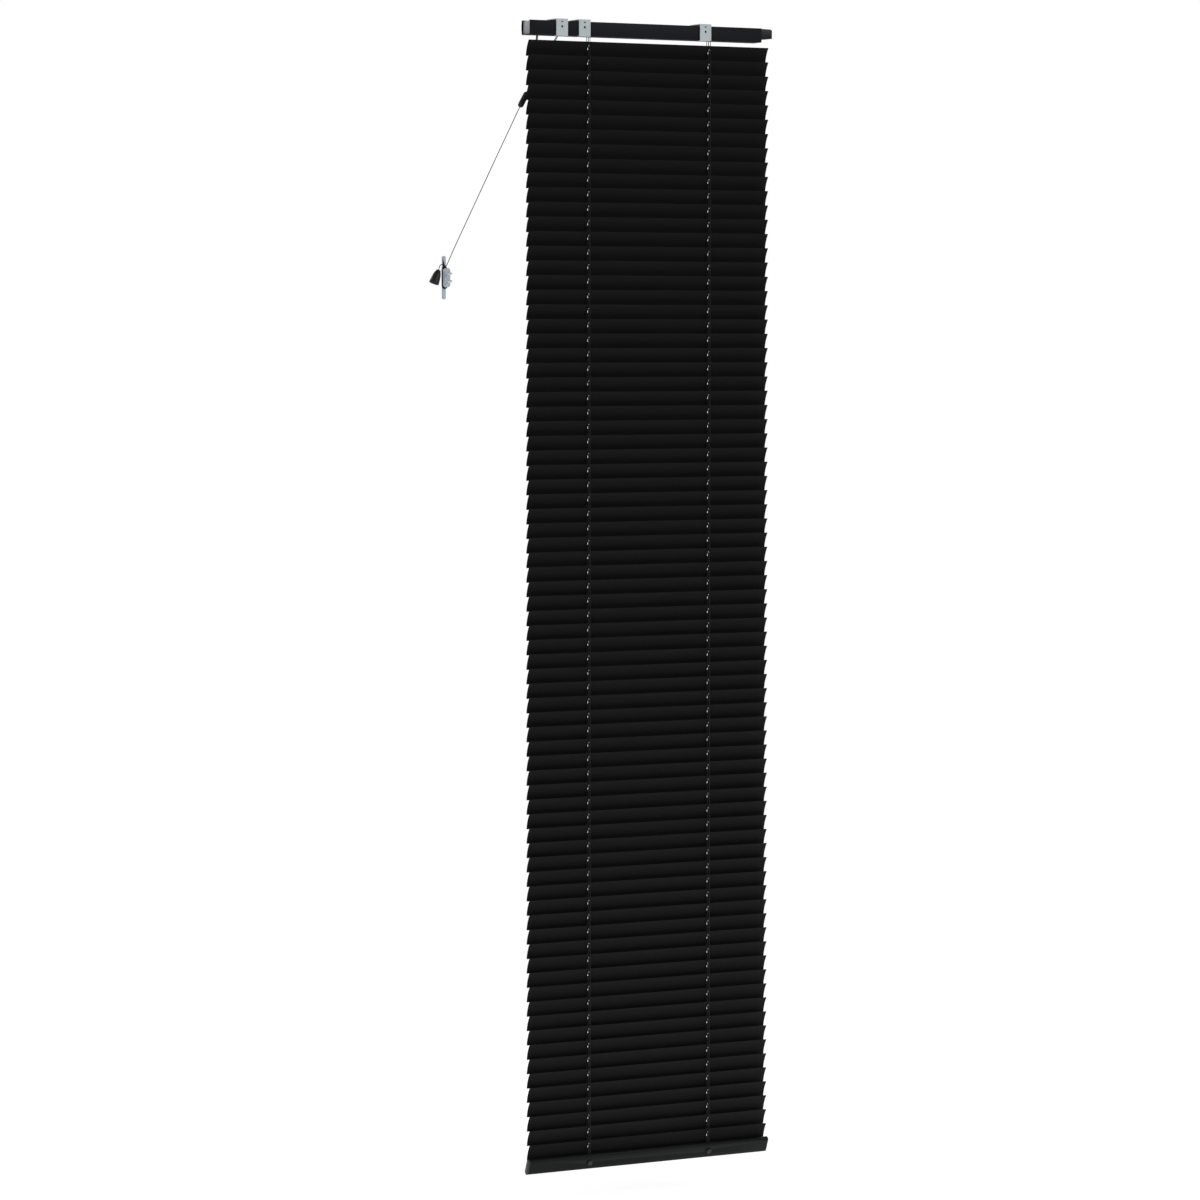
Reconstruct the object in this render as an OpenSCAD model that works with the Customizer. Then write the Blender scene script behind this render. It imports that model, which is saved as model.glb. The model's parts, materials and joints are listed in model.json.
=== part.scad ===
// Venetian blind: a short steel headrail on wall brackets, a worm tilter with a wand,
// two ladders, a stack of curved aluminium slats, a bottom rail, and a lift cord on a wall cleat.
// +Z is up, +X runs along the slats to the control end, +Y points at the wall.
// The origin is on the wall, midway between the two screw holes of the second bracket.

/* [Slats] */
// Length of a slat
slat_length = 410; // [320:5:600]
// Width of a slat between its two long edges
slat_width = 25; // [22:0.5:30]
// Rise of the slat's curved back above its edges
slat_crown = 1.6; // [1:0.1:2]
// Thickness of the slat's sheet
slat_sheet = 0.3; // [0.2:0.05:0.5]
// Number of slats
slat_count = 77; // [8:1:79]
// Distance from one slat to the next
slat_pitch = 21.5; // [20:0.5:26]
// Angle between a closed slat and the vertical
closed_tilt = 21.5; // [16:0.5:28]
// Length of the cord slot, across the slat
slot_length = 14.5; // [13:0.5:18]
// Width of the cord slot, along the slat
slot_width = 1.8; // [1.6:0.1:4]

/* [Headrail] */
// Depth of the headrail, from the wall side to the room side
rail_depth = 25; // [24:1:32]
// Height of the headrail
rail_height = 21.2; // [19:0.2:26]
// Thickness of the headrail's steel
rail_sheet = 0.8; // [0.5:0.1:1.2]
// How far the room side of the headrail bows outwards
rail_bow = 1.4; // [0.5:0.1:3]
// How far the headrail passes the slats at the control end
rail_past = 2.5; // [0:0.5:8]
// How far the headrail stops short of the slats at the far end
rail_short = 17; // [10:1:30]
// Distance from the headrail's underside to the centre of the first slat
first_drop = 19; // [18:0.5:26]

/* [Brackets] */
// Width of a bracket
bracket_width = 19; // [14:1:24]
// Thickness of a bracket's steel
bracket_sheet = 1.2; // [1:0.1:1.6]
// Space between the wall and the headrail
wall_gap = 3; // [2.5:0.5:8]
// Distance between the two wall screw holes
wall_hole_pitch = 7.8; // [7:0.2:10]
// Radius of a bracket's screw holes
bracket_hole_r = 1.8; // [1.5:0.1:2.5]
// Distance between the two ceiling screw holes
top_hole_pitch = 12; // [9:0.5:15]
// Distance of the first bracket from the control end of the slats
bracket_1_inset = 50; // [35:1:60]
// Distance of the second bracket from the control end of the slats
bracket_2_inset = 88; // [76:1:90]
// Distance of the third bracket from the far end of the slats
bracket_3_inset = 116; // [40:1:130]

/* [Tilting] */
// Distance of each ladder from its end of the slats
ladder_inset = 102; // [80:1:120]
// Thickness of a ladder string
ladder_d = 1; // [0.8:0.1:1.4]
// Distance of the wand from the control end of the slats
tilter_inset = 21.5; // [20:0.5:24]
// Slant of the tilter's worm from the vertical
worm_slant = 12; // [8:1:14]
// Length of the wand's rod
wand_length = 760; // [300:10:1000]
// Radius of the wand's rod over its corners
wand_r = 3.6; // [3:0.1:4]

/* [Lifting] */
// Thickness of a lift cord
cord_d = 1.2; // [0.9:0.1:1.5]
// Distance of the cord lock from the control end of the slats
lock_inset = 55; // [52:0.5:60]

/* [Bottom rail] */
// Width of the bottom rail
foot_width = 25; // [20:1:30]
// Thickness of the bottom rail
foot_thickness = 9; // [7:0.5:12]
// Distance from the last slat's centre to the bottom rail's centre
foot_drop = 20.8; // [20:0.2:28]
// How far each end of the bottom rail passes the slats
foot_past = 2; // [0:0.5:5]

/* [Cleat] */
// Length of the cleat from horn to horn
cleat_length = 63; // [50:1:80]
// Width of the cleat's horns
cleat_width = 5; // [4:0.5:8]
// Distance between the cleat's two screws
cleat_screw_pitch = 11; // [10:0.5:14]
// Radius of a cleat screw
cleat_screw_r = 1.7; // [1.3:0.1:2]

/* [Hidden] */
SLATS = [for (n = [2 : 3 : slat_count]) n];
BETWEEN = [for (n = [1 : slat_count]) if (n % 3 != 2) n];
function slat_name(n) = str("slat_", n < 10 ? "0" : "", n);

// Clearances
fit = 0.1;          // round a piece that sits in another
running = 0.08;     // round a shaft in its bore
loose = 0.3;        // between pieces that pass each other

// Places along the blind: blind_x is the middle of the slats
half = slat_length / 2;
blind_x = bracket_2_inset - half;
blind_y = -(wall_gap + rail_depth / 2);
control_end = blind_x + half;
far_end = blind_x - half;
ladder_x = [control_end - ladder_inset, far_end + ladder_inset];
bracket_x = [control_end - bracket_1_inset, control_end - bracket_2_inset, far_end + bracket_3_inset];
tilter_x = control_end - tilter_inset;
lock_x = control_end - lock_inset;

// Heights: the bracket's screw holes are at z = 0
top_hole_edge = 3.6;    // from the bracket's top to the centre of its upper hole
flange_space = 1.8;       // between the headrail and the bracket's top flange
bracket_tab = 0.8;      // thickness of the tab under the headrail
bracket_top = wall_hole_pitch / 2 + top_hole_edge;
rail_top = bracket_top - bracket_sheet - flange_space;
rail_bottom = rail_top - rail_height;
bracket_bottom = rail_bottom - bracket_tab;
floor_z = rail_bottom + rail_sheet;
first_z = rail_bottom - first_drop;
function slat_z(n) = first_z - (n - 1) * slat_pitch;
foot_z = slat_z(slat_count) - foot_drop;
closed_turn = 90 - closed_tilt;

// Headrail
rail_lip = 2.4;         // width of the folded edges along the top
rail_near = rail_past + half;      // control end, from the middle of the slats
rail_far = half - rail_short;      // far end, from the middle of the slats
floor_slot = [7, 13];   // opening in the floor under each drum
lock_hole = [8, 5];     // opening in the floor where the lift cords leave
stub_hole = [5.4, 5];   // opening in the floor for the tilter's worm

// Tilting gear
axis_z = rail_bottom + 8.5;        // height of the tilt rod
rod_r = 2.6;            // tilt rod, over its corners
journal_r = 3.6;        // drum and gear journals
drum_r = 4.8;
string_y = drum_r + ladder_d / 2 + fit;
drum_half = 5;
ear_x = 6.2;            // inner face of the cradle's ears
ear_sheet = 1.6;
gear_teeth = 12;
gear_tip = 5;
gear_root = 4;
gear_half = 3;
worm_tip = 2.5;
worm_core = 1.8;
worm_r = 1.6;           // shaft below the worm
worm_offset = gear_tip + worm_tip + fit;
worm_pitch = PI * (gear_tip + gear_root) / gear_teeth;
ball_r = 2.1;
ball_drop = 9;          // of the ball below the headrail
worm_top = -7.4;        // of the shaft above the mesh
mesh_y = -worm_offset * cos(worm_slant);
mesh_z = axis_z + worm_offset * sin(worm_slant);
ball_s = (mesh_z - rail_bottom + ball_drop) / cos(worm_slant);
ball_y = mesh_y - ball_s * sin(worm_slant);
ball_z = rail_bottom - ball_drop;

// Wand
wand_y = -21;           // of its axis from the middle of the slats
cup_r = 4.6;
cup_top = rail_bottom - 15;
cup_height = 11;
cup_wall = 1.5;
cup_cap = 1.2;
neck_r = 2.1;
head_r = 3.1;
head_height = 3;
rod_top = cup_top - cup_height - loose;
grip_r = 4.4;
grip_length = 78;
grip_cover = 66;        // length of rod inside the grip

// Cord lock
lock_half = 10;
roller_r = 2.6;
roller_half = 3;
pin_r = 1;
roller_y = -7;
roller_z = floor_z + 9.5;
cord_run_y = [7.2, 9.2];           // of the two lift cords along the headrail
cord_run_z = floor_z + 2.2;

// Lift cords inside the blind: one list for the near station, one for the far one
lock_bend = 3;
function cord_route(i) = let (x = ladder_x[i], y = blind_y + cord_run_y[i], xe = lock_x + (i == 0 ? -1 : 1), z = cord_run_z)
    [[x, blind_y, foot_z + foot_top_at(cord_d / 2) + 2 * fit],
     [x, blind_y, z - lock_bend],
     [x, blind_y + 0.4, z - 1],
     [x + 0.3, blind_y + 1.6, z],
     [x + 1, y - 2, z],
     [x + 3, y - 0.2, z],
     [x + 6, y, z],
     [xe - 4, y, z],
     [xe - 1.2, y - 1.2, z],
     [xe, y - 4, z],
     [xe, blind_y - 7, z],
     [xe, blind_y - 9.4, z - 0.9],
     [xe, blind_y - 10, z - 3.2],
     [xe, blind_y - 10, rail_bottom]];

// Free cords: from the headrail to the connector, and on to the cleat and the tassel
TAIL_A = [[32, -25.5, -16.7], [33.2, -26, -19.7], [37, -27.5, -26], [43, -29.5, -36],
          [53, -30.5, -54], [64, -30.5, -74], [73.5, -31.8, -91.5], [78.1, -33, -100.3]];
TAIL_B = [[34, -25.5, -16.7], [35.2, -26, -19.7], [39, -27.5, -26], [45, -29.5, -36],
          [55, -30.5, -54], [66, -30.5, -74], [75.2, -31.8, -90.8], [79.7, -33, -99.4]];
PULL = [[91.6, -33, -122.1], [93, -32.8, -124.5], [110, -29.8, -154], [140, -24.6, -206],
        [180, -17.4, -276], [210, -11.6, -328], [225, -8.2, -354.6]];
TASSEL_TAIL = [[229.6, -9.1, -354.6], [231.5, -9, -353.6], [234.2, -8.8, -354.2],
               [236.4, -8.6, -356.6], [237.6, -8.5, -360], [237.9, -8.5, -361.7]];
CONNECTOR_TOP = [79, -33, -100.1];
CONNECTOR_END = [91.4, -33, -121.6];
connector_r = 4.3;
TASSEL_TOP = [238, -8.5, -362];
TASSEL_END = [246, -8.5, -381.5];

// Cleat
CLEAT = [227.5, 0, -373];          // the middle of its base, on the wall
cleat_base = [8.4, 28];
cleat_base_height = 7;
stem = [4.8, 27.6];
stem_height = 4.2;
horn_thickness = 3.5;
winding_wall = 3.4;
screw_length = 15;      // behind the base, in the wall
screw_head_r = 3;

// Bottom rail
foot_sheet = 1;
foot_r = foot_thickness / 2;
foot_run = foot_width / 2 - foot_r;
foot_end = half + foot_past;
cap_plate = 2;
plug_r = 4;
plug_height = 1.6;

// The profile's first axis goes to +Y and its second to +Z, and it is drawn along +X
module along_x(length) {
    rotate([90, 0, 90]) linear_extrude(height = length) children();
}

module pill(length, r) {
    square([length - 2 * r, 2 * r], center = true);
    for (s = [-1, 1]) translate([s * (length / 2 - r), 0]) circle(r = r, $fn = 48);
}

function unit(v) = v / norm(v);
function bent(p, i) = i == 0 ? unit(p[1] - p[0])
    : i == len(p) - 1 ? unit(p[i] - p[i - 1])
    : unit(unit(p[i] - p[i - 1]) + unit(p[i + 1] - p[i]));

// A tube of eight flat sides along a list of points, with one ring at each point
module tube(p, d, sides = 8) {
    rings = [for (i = [0 : len(p) - 1])
        let (t = bent(p, i), side = abs(t[1]) > 0.9 ? [1, 0, 0] : [0, 1, 0],
             u = unit(cross(t, side)), v = cross(t, u))
        for (k = [0 : sides - 1]) let (a = 360 * (k + 0.5) / sides)
            p[i] + d / 2 * (cos(a) * u + sin(a) * v)];
    walls = [for (i = [0 : len(p) - 2], k = [0 : sides - 1]) let (a = i * sides, b = a + sides, n = (k + 1) % sides)
        each [[a + k, a + n, b + n], [a + k, b + n, b + k]]];
    ends = [[for (k = [sides - 1 : -1 : 0]) k], [for (k = [0 : sides - 1]) (len(p) - 1) * sides + k]];
    polyhedron(points = rings, faces = concat(walls, ends));
}

// ---- slats ----
arc_steps = 8;
function arc(lift) = [for (i = [0 : arc_steps]) let (u = slat_width * (i / arc_steps - 0.5))
    [u, slat_crown * (1 - pow(2 * u / slat_width, 2)) + lift]];
function backwards(list) = [for (i = [len(list) - 1 : -1 : 0]) list[i]];

module slat_sheet_at(n) {
    translate([0, blind_y, slat_z(n)]) rotate([closed_turn, 0, 0]) difference() {
        translate([far_end, 0, 0]) along_x(slat_length) polygon(concat(arc(0), backwards(arc(slat_sheet))));
        for (x = ladder_x) translate([x, 0, -slat_sheet]) linear_extrude(height = slat_crown + 3 * slat_sheet) {
            square([slot_width, slot_length - slot_width], center = true);
            for (s = [-1, 1]) translate([0, s * (slot_length - slot_width) / 2]) circle(d = slot_width, $fn = 12);
        }
    }
}

module slat(n) color([0.03, 0.03, 0.03]) slat_sheet_at(n);
module slats_between() color([0.03, 0.03, 0.03]) for (n = BETWEEN) slat_sheet_at(n);

// ---- headrail ----
bow_steps = 10;
function bow(inset) = [for (i = [0 : bow_steps]) let (t = i / bow_steps)
    [-rail_depth / 2 + inset - rail_bow * sin(180 * t), rail_bottom + inset + (rail_height - 2 * inset) * t]];

module headrail() color([0.05, 0.05, 0.055]) {
    d = rail_depth / 2;
    difference() {
        translate([blind_x - rail_far, blind_y, 0]) along_x(rail_near + rail_far) polygon(concat(
            bow(0), [[-d + rail_lip, rail_top], [-d + rail_lip, rail_top - rail_sheet]], backwards(bow(rail_sheet)),
            [[d - rail_sheet, floor_z], [d - rail_sheet, rail_top - rail_sheet],
             [d - rail_lip, rail_top - rail_sheet], [d - rail_lip, rail_top], [d, rail_top], [d, rail_bottom]]));
        for (x = ladder_x) translate([x, blind_y, rail_bottom])
            cube([floor_slot[0], floor_slot[1], 4 * rail_sheet], center = true);
        translate([lock_x, blind_y - 9.4, rail_bottom]) cube([lock_hole[0], 3.6, 4 * rail_sheet], center = true);
        translate([tilter_x, blind_y + mesh_y - tan(worm_slant) * (mesh_z - floor_z), rail_bottom])
            cube([stub_hole[0], 4, 4 * rail_sheet], center = true);
    }
}

// A cap's plug fits inside the channel, below the folded edges
module rail_plug(x, length) {
    d = rail_depth / 2 - rail_sheet - fit;
    translate([x, blind_y - d, floor_z + fit]) cube([length, 2 * d, rail_height - 2 * rail_sheet - 2 * fit]);
}

cap_recess = 2;
cap_face = 3;
module headrail_cap_control() color([0.62, 0.63, 0.64]) difference() {
    rail_plug(blind_x + rail_near - cap_recess - cap_face - 5, cap_face + 5);
    translate([blind_x + rail_near - cap_recess - cap_face - 6, blind_y - 8, floor_z + 3]) cube([6, 16, 12]);
}

far_nose = [19.5, 21, 16];
module headrail_cap_far() color([0.03, 0.03, 0.03]) {
    rail_plug(blind_x - rail_far, 12);
    // the nose narrows away from the channel
    translate([blind_x - rail_far, blind_y, 0]) rotate([90, 0, 0]) translate([0, 0, -far_nose[1] / 2])
        linear_extrude(height = far_nose[1]) polygon([[0, rail_top - 0.5], [0, rail_top - 0.5 - far_nose[2]],
            [-far_nose[0], rail_top - far_nose[2] + 1], [-far_nose[0], rail_top - 2.5], [-far_nose[0] + 3, rail_top - 0.9]]);
}

// ---- brackets ----
plate_sheet = 1.5;
module bracket(x) color([0.68, 0.71, 0.72]) {
    depth = wall_gap + rail_depth + rail_bow + loose + bracket_sheet;
    lip_z = rail_top - 2;
    difference() {
        union() {
            translate([x - bracket_width / 2, -plate_sheet, bracket_bottom])
                cube([bracket_width, plate_sheet, bracket_top - bracket_bottom]);
            translate([x - bracket_width / 2, -depth, bracket_top - bracket_sheet]) cube([bracket_width, depth, bracket_sheet]);
            translate([x - bracket_width / 2, -depth, lip_z]) cube([bracket_width, bracket_sheet, bracket_top - lip_z]);
            translate([x - bracket_width / 2, -wall_gap - 4, bracket_bottom]) cube([bracket_width, wall_gap + 4, bracket_tab]);
            bracket_tongue(x);
        }
        for (s = [-1, 1]) translate([x, 1, s * wall_hole_pitch / 2]) rotate([90, 0, 0])
            cylinder(r = bracket_hole_r, h = 4, $fn = 40);
        for (s = [-1, 1]) translate([x, blind_y + s * top_hole_pitch / 2, bracket_top - 2 * bracket_sheet])
            cylinder(r = bracket_hole_r, h = 3 * bracket_sheet, $fn = 40);
    }
}

// The tongue hangs inside the channel and its foot is under the room side's folded edge
module bracket_tongue(x) {
    edge = -wall_gap - rail_depth + rail_lip;
    foot_top = rail_top - rail_sheet - loose;
    for (s = [-1, 1]) translate([x + s * bracket_width / 3 - 1.5, 0, 0]) {
        translate([0, edge + loose, foot_top - 1]) cube([3, 1, bracket_top - foot_top]);
        translate([0, edge - 1.2, foot_top - 1]) cube([3, 2.5, 1]);
    }
}

module bracket_1() bracket(bracket_x[0]);
module bracket_2() bracket(bracket_x[1]);
module bracket_3() bracket(bracket_x[2]);

// ---- tilter ----
// s runs down along the worm's slanted shaft from where it meets the gear
module on_worm(s) {
    translate([tilter_x, blind_y + mesh_y, mesh_z]) rotate([-worm_slant, 0, 0]) translate([0, 0, -s]) children();
}

housing_half = 11;
module tilter_housing() color([0.75, 0.76, 0.76]) difference() {
    translate([tilter_x - housing_half, blind_y - rail_depth / 2 + rail_sheet + fit, floor_z])
        cube([2 * housing_half, rail_depth - 2 * rail_sheet - 6, rail_height - 2 * rail_sheet - loose]);
    translate([tilter_x - gear_half - loose, blind_y, axis_z]) rotate([0, 90, 0])
        cylinder(r = gear_tip + 2 * loose, h = 2 * gear_half + 2 * loose, $fn = 48);
    translate([tilter_x - housing_half - 1, blind_y, axis_z]) rotate([0, 90, 0])
        cylinder(r = journal_r + running, h = 2 * housing_half + 2, $fn = 48);
    on_worm(4.4) cylinder(r = worm_tip + loose, h = 13, $fn = 40);
    on_worm(16) cylinder(r = worm_r + running, h = 24, $fn = 40);
}

module tilter_worm() color([0.45, 0.45, 0.46]) {
    on_worm(4) cylinder(r = worm_core, h = 8, $fn = 32);
    for (i = [-1 : 1]) on_worm(i * worm_pitch + 0.6) cylinder(r = worm_tip, h = 1.2, $fn = 32);
    on_worm(ball_s) cylinder(r = worm_r, h = ball_s - 4, $fn = 32);
    on_worm(-4) cylinder(r = worm_r, h = -worm_top - 4, $fn = 32);
    on_worm(ball_s) sphere(r = ball_r, $fn = 32);
}

module square_hole(x, length) {
    translate([x, blind_y, axis_z]) rotate([0, 90, 0]) cylinder(r = rod_r + 0.06, h = length, $fn = 4);
}

module tilter_gear() color([0.80, 0.80, 0.78]) difference() {
    union() {
        translate([tilter_x - gear_half, blind_y, axis_z]) rotate([0, 90, 0]) {
            cylinder(r = gear_root, h = 2 * gear_half, $fn = 48);
            for (i = [0 : gear_teeth - 1]) rotate([0, 0, i * 360 / gear_teeth]) linear_extrude(height = 2 * gear_half)
                polygon([[gear_root - 0.4, -0.75], [gear_tip - 0.1, -0.4], [gear_tip - 0.1, 0.4], [gear_root - 0.4, 0.75]]);
        }
        translate([tilter_x - housing_half, blind_y, axis_z]) rotate([0, 90, 0])
            cylinder(r = journal_r, h = 2 * housing_half, $fn = 48);
    }
    square_hole(tilter_x - housing_half - 1, 2 * housing_half + 2);
}

module tilt_rod() color([0.55, 0.56, 0.58]) {
    start = ladder_x[1] - ear_x - ear_sheet - 3;
    translate([start, blind_y, axis_z]) rotate([0, 90, 0])
        cylinder(r = rod_r, h = tilter_x + housing_half + 1.5 - start, $fn = 4);
}

module ladder_drum(x) color([0.80, 0.80, 0.78]) difference() {
    union() {
        translate([x - drum_half, blind_y, axis_z]) rotate([0, 90, 0]) cylinder(r = drum_r, h = 2 * drum_half, $fn = 48);
        translate([x - ear_x - ear_sheet, blind_y, axis_z]) rotate([0, 90, 0])
            cylinder(r = journal_r, h = 2 * (ear_x + ear_sheet), $fn = 48);
    }
    square_hole(x - ear_x - ear_sheet - 1, 2 * (ear_x + ear_sheet) + 2);
}
module ladder_drum_1() ladder_drum(ladder_x[0]);
module ladder_drum_2() ladder_drum(ladder_x[1]);

// The cradle stands on the floor of the channel and carries the drum between two ears
module cradle(x) color([0.75, 0.76, 0.76]) {
    width = 2 * (ear_x + ear_sheet);
    depth = 13.6;
    difference() {
        union() {
            translate([x - width / 2, blind_y - depth / 2, floor_z]) cube([width, depth, 1.2]);
            for (s = [-1, 1]) translate([x + s * (ear_x + ear_sheet / 2) - ear_sheet / 2, blind_y - depth / 2 + 2, floor_z])
                cube([ear_sheet, depth - 4, axis_z - floor_z + journal_r + 1]);
        }
        translate([x - ear_x - 3, blind_y, axis_z]) rotate([0, 90, 0])
            cylinder(r = journal_r + running, h = 2 * ear_x + 6, $fn = 48);
        translate([x - floor_slot[0] / 2, blind_y - floor_slot[1] / 2, floor_z - 1]) cube([floor_slot[0], floor_slot[1], 4]);
    }
}
module cradle_1() cradle(ladder_x[0]);
module cradle_2() cradle(ladder_x[1]);

// ---- cord lock ----
module cord_lock_housing() color([0.70, 0.71, 0.71]) {
    d = rail_depth / 2 - rail_sheet - fit;
    base = 5;
    difference() {
        union() {
            translate([lock_x - lock_half, blind_y - d, floor_z]) cube([2 * lock_half, 2 * d, base]);
            translate([lock_x - lock_half, blind_y - d, floor_z]) cube([2 * lock_half, d - 3.6, 15]);
        }
        // the trough that the cords follow, in along the wall side and across to the room side
        translate([lock_x - lock_half - 1, blind_y + 5.6, floor_z + 1]) cube([lock_half + 5, 5, base]);
        translate([lock_x - 4, blind_y - d + 0.6, floor_z + 1]) cube([8, d + 6, base - 1.2]);
        translate([lock_x - 4, blind_y - d + 0.6, floor_z - 1]) cube([8, 3.4, base]);
        translate([lock_x - roller_half - loose, blind_y - d + 0.8, floor_z + 3]) cube([2 * (roller_half + loose), d, 14]);
        translate([lock_x - lock_half - 1, blind_y + roller_y, roller_z]) rotate([0, 90, 0])
            cylinder(r = pin_r + 0.02, h = 2 * lock_half + 2, $fn = 32);
    }
}
module cord_lock_roller() color([0.72, 0.62, 0.35]) difference() {
    translate([lock_x - roller_half, blind_y + roller_y, roller_z]) rotate([0, 90, 0])
        cylinder(r = roller_r, h = 2 * roller_half, $fn = 40);
    translate([lock_x - roller_half - 1, blind_y + roller_y, roller_z]) rotate([0, 90, 0])
        cylinder(r = pin_r + running, h = 2 * roller_half + 2, $fn = 32);
}
module cord_lock_pin() color([0.55, 0.56, 0.58])
    translate([lock_x - lock_half, blind_y + roller_y, roller_z]) rotate([0, 90, 0])
        cylinder(r = pin_r, h = 2 * lock_half, $fn = 32);

// ---- cords ----
module lift_cords() color([0.03, 0.03, 0.03]) for (i = [0, 1]) tube(cord_route(i), cord_d);
module cord_tails() color([0.03, 0.03, 0.03]) {
    tube(TAIL_A, cord_d);
    tube(TAIL_B, cord_d);
}
module pull_cord() color([0.03, 0.03, 0.03]) {
    tube(PULL, cord_d);
    tube(TASSEL_TAIL, cord_d);
}

// Turns +Z onto the line from one point to another, which stays in the plane of X and Z
module from_to(a, b) {
    translate(a) rotate([0, atan2(b[0] - a[0], b[2] - a[2]), 0]) children();
}

module cord_connector() color([0.03, 0.03, 0.03]) {
    length = norm(CONNECTOR_END - CONNECTOR_TOP);
    from_to(CONNECTOR_TOP, CONNECTOR_END) rotate_extrude($fn = 48) polygon([
        [0, 0], [2.6, 0], [3.4, 0.6], [connector_r - 0.2, 2], [connector_r, 4.5], [connector_r, length - 3], [3.7, length - 1],
        [2.6, length - 0.2], [1.6, length], [0, length]]);
}

module tassel() color([0.03, 0.03, 0.03]) {
    length = norm(TASSEL_END - TASSEL_TOP);
    from_to(TASSEL_TOP, TASSEL_END) rotate_extrude($fn = 48) polygon([
        [0, 0], [2.9, 0], [3.6, 0.8], [4.4, 3], [5.8, length * 0.4], [6.8, length * 0.75], [7.4, length - 0.8],
        [7.1, length], [0, length]]);
}

// ---- cleat ----
module on_cleat(depth) {
    translate([CLEAT[0], -depth, CLEAT[2]]) rotate([90, 90, 0]) children();
}

// The winding is a closed ring round the cleat's stem
module cleat_winding() color([0.03, 0.03, 0.03])
    on_cleat(cleat_base_height + fit) linear_extrude(height = stem_height - 2 * fit) difference() {
        pill(stem[1] + 2 * winding_wall, stem[0] / 2 + winding_wall);
        pill(stem[1] + 2 * fit, stem[0] / 2 + fit);
    }

module cleat() color([0.62, 0.66, 0.70]) difference() {
    union() {
        on_cleat(0) linear_extrude(height = cleat_base_height) pill(cleat_base[1], cleat_base[0] / 2 - 0.01);
        on_cleat(cleat_base_height) linear_extrude(height = stem_height) pill(stem[1], stem[0] / 2);
        on_cleat(cleat_base_height + stem_height) linear_extrude(height = horn_thickness) pill(cleat_length, cleat_width / 2);
    }
    for (s = [-1, 1]) {
        translate([CLEAT[0], 1, CLEAT[2] + s * cleat_screw_pitch / 2]) rotate([90, 0, 0])
            cylinder(r = cleat_screw_r + fit, h = 30, $fn = 32);
        translate([CLEAT[0], -cleat_base_height - stem_height - horn_thickness + 2, CLEAT[2] + s * cleat_screw_pitch / 2])
            rotate([90, 0, 0]) cylinder(r = screw_head_r + fit, h = 6, $fn = 32);
    }
}

module cleat_screws() color([0.80, 0.80, 0.80]) for (s = [-1, 1])
    translate([CLEAT[0], 0, CLEAT[2] + s * cleat_screw_pitch / 2]) {
        translate([0, screw_length, 0]) rotate([90, 0, 0])
            cylinder(r = cleat_screw_r, h = screw_length + cleat_base_height + stem_height + horn_thickness - 1.8, $fn = 32);
        translate([0, -(cleat_base_height + stem_height + horn_thickness - 2), 0]) rotate([90, 0, 0])
            cylinder(r = screw_head_r, h = 1.6, $fn = 32);
    }

// ---- wand ----
module wand_coupling() color([0.60, 0.61, 0.62]) {
    reach = norm([wand_y - ball_y, cup_top - ball_z]);
    lean = atan2(ball_y - wand_y, ball_z - cup_top);
    difference() {
        for (s = [-1, 1]) translate([tilter_x + s * 2.6, blind_y + ball_y, ball_z]) rotate([-lean, 0, 0]) {
            translate([-0.7, -1.8, -reach - 1]) cube([1.4, 3.6, reach + 1]);
            rotate([0, 90, 0]) translate([0, 0, -0.7]) cylinder(r = 1.8, h = 1.4, $fn = 32);
        }
        translate([tilter_x, blind_y + ball_y, ball_z]) sphere(r = ball_r + running, $fn = 32);
        translate([tilter_x, blind_y + wand_y, cup_top - cup_height]) cylinder(r = cup_r - 0.5, h = cup_height - 0.5, $fn = 40);
    }
    difference() {
        translate([tilter_x, blind_y + wand_y, cup_top - cup_height]) cylinder(r = cup_r, h = cup_height, $fn = 48);
        translate([tilter_x, blind_y + wand_y, cup_top - cup_height - 1]) cylinder(r = neck_r + running, h = 6, $fn = 40);
        translate([tilter_x, blind_y + wand_y, cup_top - cup_height + cup_wall])
            cylinder(r = head_r + loose, h = cup_height - cup_wall - cup_cap, $fn = 40);
    }
}

module wand() color([0.03, 0.03, 0.03]) translate([tilter_x, blind_y + wand_y, 0]) {
    translate([0, 0, cup_top - cup_height + cup_wall + loose]) cylinder(r = head_r, h = head_height, $fn = 40);
    translate([0, 0, rod_top - 1]) cylinder(r = neck_r, h = cup_wall + 2 * loose + 2, $fn = 40);
    translate([0, 0, rod_top - wand_length]) cylinder(r = wand_r, h = wand_length, $fn = 6);
}

module wand_grip() color([0.03, 0.03, 0.03]) translate([tilter_x, blind_y + wand_y, rod_top - wand_length]) difference() {
    translate([0, 0, grip_cover - grip_length]) rotate_extrude($fn = 48) polygon([
        [0, 0], [grip_r - 1, 0], [grip_r, 1], [grip_r, grip_length - 12], [grip_r - 0.4, grip_length - 1],
        [grip_r - 0.4, grip_length], [0, grip_length]]);
    translate([0, 0, -fit]) cylinder(r = wand_r + fit, h = grip_length, $fn = 6);
}

// ---- ladders ----
// Each string ends where it meets the bottom rail's closed outline
function foot_top_at(y) = let (cy = foot_run * sin(closed_tilt), cz = foot_run * cos(closed_tilt))
    y >= 0 ? cz + sqrt(max(0.01, foot_r * foot_r - pow(y - cy, 2)))
          : -cz + foot_r * sin(closed_tilt) + (y + cy + foot_r * cos(closed_tilt)) / tan(closed_tilt);

module ladder_strings(side) color([0.03, 0.03, 0.03]) for (x = ladder_x) {
    low = foot_z + foot_top_at(side * (string_y - ladder_d / 2)) + 2 * fit;
    translate([x, blind_y + side * string_y, low]) cylinder(d = ladder_d, h = axis_z - low, $fn = 8);
}
module ladder_wall_side() ladder_strings(1);
module ladder_room_side() ladder_strings(-1);

// ---- bottom rail ----
module on_foot() {
    translate([0, blind_y, foot_z]) rotate([closed_turn, 0, 0]) children();
}

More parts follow.
